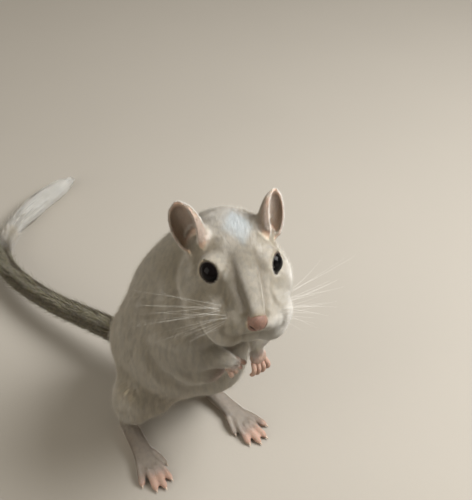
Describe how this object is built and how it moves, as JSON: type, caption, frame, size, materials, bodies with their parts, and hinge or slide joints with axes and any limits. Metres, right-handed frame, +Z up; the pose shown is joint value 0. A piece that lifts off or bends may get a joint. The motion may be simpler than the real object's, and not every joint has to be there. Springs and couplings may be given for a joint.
{
  "type": "gerbil model",
  "caption": "Life-size still model of a pale cream gerbil half upright on its hind feet, forepaws at its chest, head turned, long tail curled behind to a white tuft.",
  "frame": {"origin": "middle of the base of the whole box, on the floor that the model stands on", "axes": "+Z up, the body faces -Y, +X is the animal's left, the tail runs out along +Y"},
  "size_m": [0.0668, 0.1804, 0.1026],
  "materials": {
    "cream_fur": "short dense pale cream fur",
    "white_fur": "long soft cream-white hair of the tail's tuft",
    "tail_fur": "short dark grey-brown fur",
    "ear_skin": "thin brown-pink skin with fine down",
    "paw_skin": "pinkish skin with sparse pale fur",
    "eye": "wet black gloss"
  },
  "bodies": {
    "root": {"head": "cream_fur", "neck": "cream_fur", "torso": "cream_fur", "haunch_left": "cream_fur", "haunch_right": "cream_fur", "foreleg_left": "cream_fur", "foreleg_right": "cream_fur", "forepaw_left": "paw_skin", "forepaw_right": "paw_skin", "hindfoot_left": "paw_skin", "hindfoot_right": "paw_skin", "ear_left": "ear_skin", "ear_right": "ear_skin", "eye_left": "eye", "eye_right": "eye", "tail_base": "tail_fur", "tail_middle": "tail_fur", "tail_bend": "tail_fur", "tail_tip": "white_fur"}
  },
  "joints": []
}
